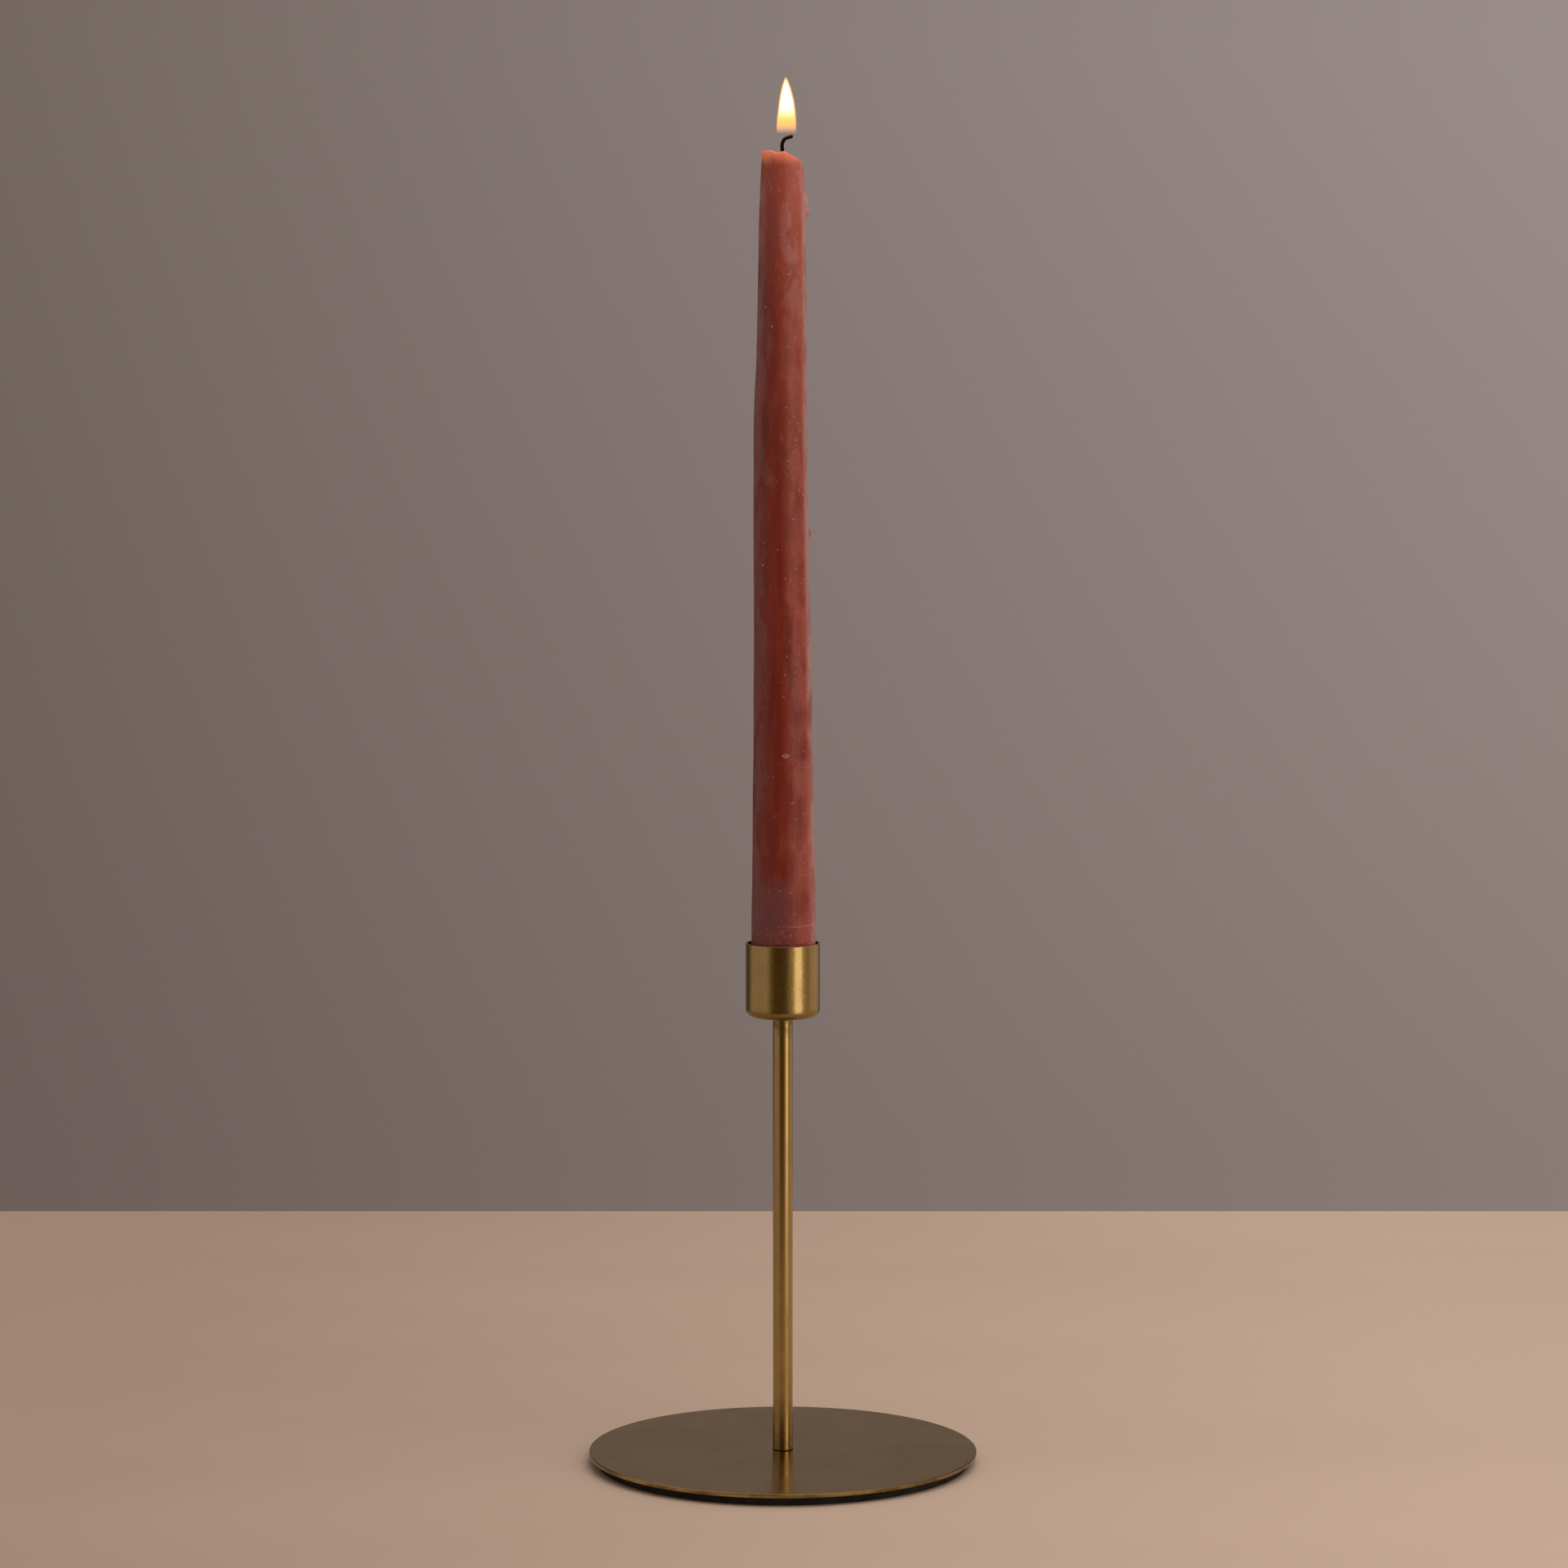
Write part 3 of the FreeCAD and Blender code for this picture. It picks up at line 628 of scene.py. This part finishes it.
def make_flame():
    """Four nested glows, each a thin pointed shell.

    They are two of faint orange, an amber skin, and a body that goes from gold at its foot to white.
    """
    length, low = 18.8, WICK_TOP + 0.2
    lean = [(0.0, 1.15), (0.5, 1.3), (1.0, 1.0)]
    rows, around = 48, 48
    orange, amber, rose = (1.0, 0.38, 0.09), (1.0, 0.46, 0.13), (0.5, 0.3, 0.25)
    smoke, gold, straw = (0.26, 0.155, 0.11), (0.32, 0.18, 0.04), (0.44, 0.27, 0.10)
    cream, white = (0.54, 0.47, 0.34), (0.76, 0.74, 0.76)
    skin = [(0.0, smoke), (0.07, (0.33, 0.19, 0.11)), (0.15, (0.47, 0.27, 0.09)), (0.22, (0.62, 0.34, 0.09)),
            (0.30, (0.90, 0.48, 0.15)), (0.42, amber), (1.0, amber)]
    body = [(0.12, gold), (0.20, gold), (0.29, straw), (0.36, cream), (0.45, white)]
    # Name, share of the width and of the height, share where it starts, then the colours and the opacities
    # by share of the flame's height, and how bright it is.
    shells = [
        ("flame_haze", 1.14, 1.018, 0.0, [(0.0, rose), (0.15, orange), (1.0, orange)],
         [(0.0, 0.0), (0.06, 0.015), (0.20, 0.05), (0.90, 0.06), (1.0, 0.04)], 2.0),
        ("flame_halo", 1.06, 1.005, 0.0, [(0.0, rose), (0.12, orange), (1.0, orange)],
         [(0.0, 0.0), (0.05, 0.07), (0.16, 0.19), (0.90, 0.20), (1.0, 0.16)], 2.4),
        ("flame_skin", 0.99, 0.990, 0.0, skin,
         [(0.0, 0.0), (0.04, 0.12), (0.11, 0.36), (0.20, 0.44), (0.36, 0.36), (1.0, 0.34)], 2.4),
        ("flame_body", 0.91, 0.950, 0.12, body,
         [(0.0, 0.0), (0.13, 0.0), (0.22, 0.26), (0.31, 0.66), (0.40, 0.98), (0.44, 1.0)], 2.4),
    ]
    pieces = []
    for name, width, tall, start, colours, alphas, strength in shells:
        rings = []
        for row in range(rows + 1):
            share = start + (1 - start) * row / rows
            height = low + length * share * tall
            middle = smooth_curve(lean, share)
            radius = smooth_curve(FLAME_RADIUS, share) * width
            ring = []
            for k in range(around):
                angle = 2 * math.pi * k / around
                ring.append(round_axis(middle, radius, angle, height))
            rings.append(ring)
        material = flame_light(name, colours, alphas, strength, low, low + length)
        pieces.append(mesh_from_rings(name, rings, material, closed_start=False))
    return pieces


candle = make_candle()
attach(candle, "candle")
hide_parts("candle")
wick = make_wick()
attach(wick, "candle")
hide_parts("wick")
flame = make_flame()
for shell in flame:
    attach(shell, "candle")


# ---------------------------------------------------------------- the CAD nodes' materials

def dress(node, material):
    for slot in NODES[node].material_slots:
        slot.material = material


STEM_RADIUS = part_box("stem_tube")[1].x / MM
NECK = height_of("stem_tube", 1)
SEAM = height_of("stem_tube", 0)
CUP_LOW = height_of("cup", 0)
dress("base_pad", foam())
dress("base_plate", plate_brass(STEM_RADIUS, height_of("base_plate", 1)))
dress("stem_foot", brushed_round("brass_foot", roughness=0.22, tarnish=0.8, ticks=0.4, waviness=0.4,
                                 stained=(SEAM + 6.0, SEAM - 9.0)))
dress("stem_tube", brushed_round("brass_tube", roughness=0.23, tarnish=0.3, ticks=0.12, waviness=0.2,
                                 stained=(NECK - 7.5, NECK - 1.5), pitting=0.9,
                                 dark_edge=(SEAM + 0.40, SEAM + 0.15)))
dress("stem_head", brushed_round("brass_head", roughness=0.34, tarnish=0.9, ticks=0.3, waviness=0.5,
                                 stained=(NECK - 3.0, NECK), pitting=0.7))
# The cup's dark edge at its foot is painted shade that dims the floor's reflection.
dress("cup", brushed_round("brass_cup", roughness=0.25, tarnish=0.25, ticks=0.8, waviness=1.7,
                           dark_edge=(CUP_LOW + 5.0, CUP_LOW + 1.8)))
steel = zinc_steel()
for node in ("base_screw", "cup_screw", "cup_washer"):
    dress(node, steel)


# ---------------------------------------------------------------- floor, light and camera

def slab(name, x_range, y_range, material):
    """A flat slab whose top is the plane that the object stands on."""
    thickness = 0.03
    mesh = bmesh.new()
    (left, right), (front, back) = x_range, y_range
    corners = [(left, front), (right, front), (right, back), (left, back)]
    top = [mesh.verts.new((x, y, 0)) for x, y in corners]
    bottom = [mesh.verts.new((x, y, -thickness)) for x, y in corners]
    mesh.faces.new(top)
    mesh.faces.new(bottom[::-1])
    for k in range(4):
        mesh.faces.new((top[(k + 1) % 4], top[k], bottom[k], bottom[(k + 1) % 4]))
    piece = add_piece(name, mesh, material)
    return piece


def make_floor():
    """A pale table top that ends behind the object, painted lighter towards +X as painted light, with a faint
    random tone. The metal reflects only the part close to it.
    """
    s = Shader("floor_pale")
    tone = s.noise(160, s.stretched((0.25, 1.0, 1.0)), detail=2)
    # Painted light: the top gets lighter towards +X, where the lamp is, with a faint random tone over it.
    across = s.plus(s.between(s.x, -250, 250, smooth=False), s.between(tone, 0.3, 0.7, -0.08, 0.08))
    colour = s.mix(across, (0.505, 0.378, 0.318), (0.705, 0.555, 0.475))
    material = s.set(base_color=colour, roughness=0.62, specular_ior_level=0.3)
    back, front, side, far_front, far_side = 0.48, -0.36, 0.8, -0.7, 1.1
    slab("floor", (-side, side), (front, back), material)
    aprons = [
        slab("floor_front", (-far_side, far_side), (far_front, front), material),
        slab("floor_left", (-far_side, -side), (front, back), material),
        slab("floor_right", (side, far_side), (front, back), material),
    ]
    for apron in aprons:
        apron.visible_glossy = False


def area_light(name, azimuth, elevation, distance, width, tall, power, colour):
    """A soft box aimed just above the cup. Azimuth 0 is on the camera's side and 90 is on +X."""
    target = Vector((0, 0, 0.2))
    a, e = math.radians(azimuth), math.radians(elevation)
    away = Vector((math.sin(a) * math.cos(e), -math.cos(a) * math.cos(e), math.sin(e)))
    light = bpy.data.lights.new(name, "AREA")
    light.shape = "RECTANGLE"
    light.size, light.size_y = width, tall
    light.energy, light.color = power, colour
    lamp = bpy.data.objects.new(name, light)
    lamp.location = target + away * distance
    lamp.rotation_mode = "QUATERNION"
    lamp.rotation_quaternion = away.to_track_quat("Z", "Y")
    lamp.visible_camera = False
    bpy.context.scene.collection.objects.link(lamp)
    return lamp


class Sky(Nodes):
    """Builds the world's node tree. Directions run along the world's axes."""

    def __init__(self):
        world = bpy.data.worlds.new("studio")
        bpy.context.scene.world = world
        world.use_nodes = True
        super().__init__(world.node_tree)
        direction = self.tree.nodes.new("ShaderNodeTexCoord")
        self.x, self.y, self.z = self.split(direction.outputs["Generated"])

    def share(self, value, low, high):
        """How far a value is from low to high, evenly, from 0 to 1."""
        return self.between(value, low, high, smooth=False)


# How bright the studio is by azimuth: 0 is on the camera's side, 90 is on +X.
STUDIO_WALLS = [
    (-180, (0.215, 0.175, 0.148)), (-156, (0.120, 0.100, 0.085)), (-140, (0.055, 0.047, 0.038)),
    (-124, (0.100, 0.080, 0.062)), (-110, (0.420, 0.360, 0.330)), (-50, (0.445, 0.375, 0.325)),
    (-38, (0.170, 0.130, 0.070)), (-28, (0.065, 0.038, 0.009)), (0, (0.060, 0.034, 0.008)),
    (12, (0.090, 0.062, 0.022)), (23, (0.320, 0.255, 0.155)), (36, (0.520, 0.430, 0.310)),
    (62, (0.570, 0.470, 0.330)), (74, (0.350, 0.280, 0.180)), (84, (0.180, 0.145, 0.085)),
    (98, (0.520, 0.430, 0.370)), (132, (0.540, 0.450, 0.390)), (146, (0.150, 0.125, 0.103)),
    (164, (0.170, 0.140, 0.118)), (180, (0.215, 0.175, 0.148)),
]
CEILING = (0.55, 0.47, 0.38)
# The backdrop's colours on its -X and +X sides, high up and then low down.
BACKDROP = [((0.176, 0.138, 0.123), (0.322, 0.266, 0.254)), ((0.148, 0.113, 0.102), (0.256, 0.200, 0.180))]


def make_world():
    """Soft studio walls that the metal reflects, a pale ceiling, and a plain backdrop behind the object."""
    sky = Sky()
    azimuth = sky.math("ARCTAN2", sky.x, sky.times(sky.y, -1.0))
    stops = [((degrees + 180) / 360, colour) for degrees, colour in STUDIO_WALLS]
    walls = sky.ramp(sky.share(azimuth, -math.pi, math.pi), stops)
    room = sky.mix(sky.between(sky.z, 0.45, 0.85), walls, CEILING)
    across = sky.share(sky.x, -0.15, 0.15)
    high, low = [sky.ramp(across, [(0.0, left), (1.0, right)]) for left, right in BACKDROP]
    backdrop = sky.mix(sky.share(sky.z, -0.17, 0.04), low, high)
    path = sky.tree.nodes.new("ShaderNodeLightPath")
    seen = sky.mix(path.outputs["Is Camera Ray"], room, backdrop)
    background = sky.tree.nodes.new("ShaderNodeBackground")
    sky.link(seen, background.inputs[0])
    output = sky.tree.nodes.new("ShaderNodeOutputWorld")
    sky.link(background.outputs[0], output.inputs[0])


def make_light():
    """A tall lamp on the +X side, a broad one overhead that the metal doesn't show, and the flame's glow."""
    area_light("key", azimuth=49, elevation=4, distance=1.5, width=0.66, tall=1.9, power=5.1,
               colour=(1.0, 0.915, 0.82))
    overhead = area_light("overhead", azimuth=60, elevation=70, distance=2.0, width=2.0, tall=2.0, power=19.0,
                          colour=(1.0, 0.95, 0.90))
    overhead.visible_glossy = False
    glow = bpy.data.lights.new("flame_glow", "POINT")
    glow.energy, glow.color, glow.shadow_soft_size = 0.007, (1.0, 0.60, 0.36), 2.5 * MM
    lamp = bpy.data.objects.new("flame_glow", glow)
    lamp.location = Vector((1.2, 0, WICK_TOP + 7)) * MM
    bpy.context.scene.collection.objects.link(lamp)
    bpy.context.scene.view_settings.view_transform = "Standard"


def make_camera():
    """A long lens, higher than the cup and looking slightly down."""
    degrees_down = 5.727
    lens = bpy.data.cameras.new("camera")
    lens.sensor_width = 36.0
    lens.lens = 119.0
    camera = bpy.data.objects.new("camera", lens)
    camera.location = (0.0004, -1.7748, 0.4154)
    camera.rotation_euler = (math.radians(90 - degrees_down), 0, 0)
    bpy.context.scene.collection.objects.link(camera)
    bpy.context.scene.camera = camera


make_floor()
make_world()
make_light()
make_camera()
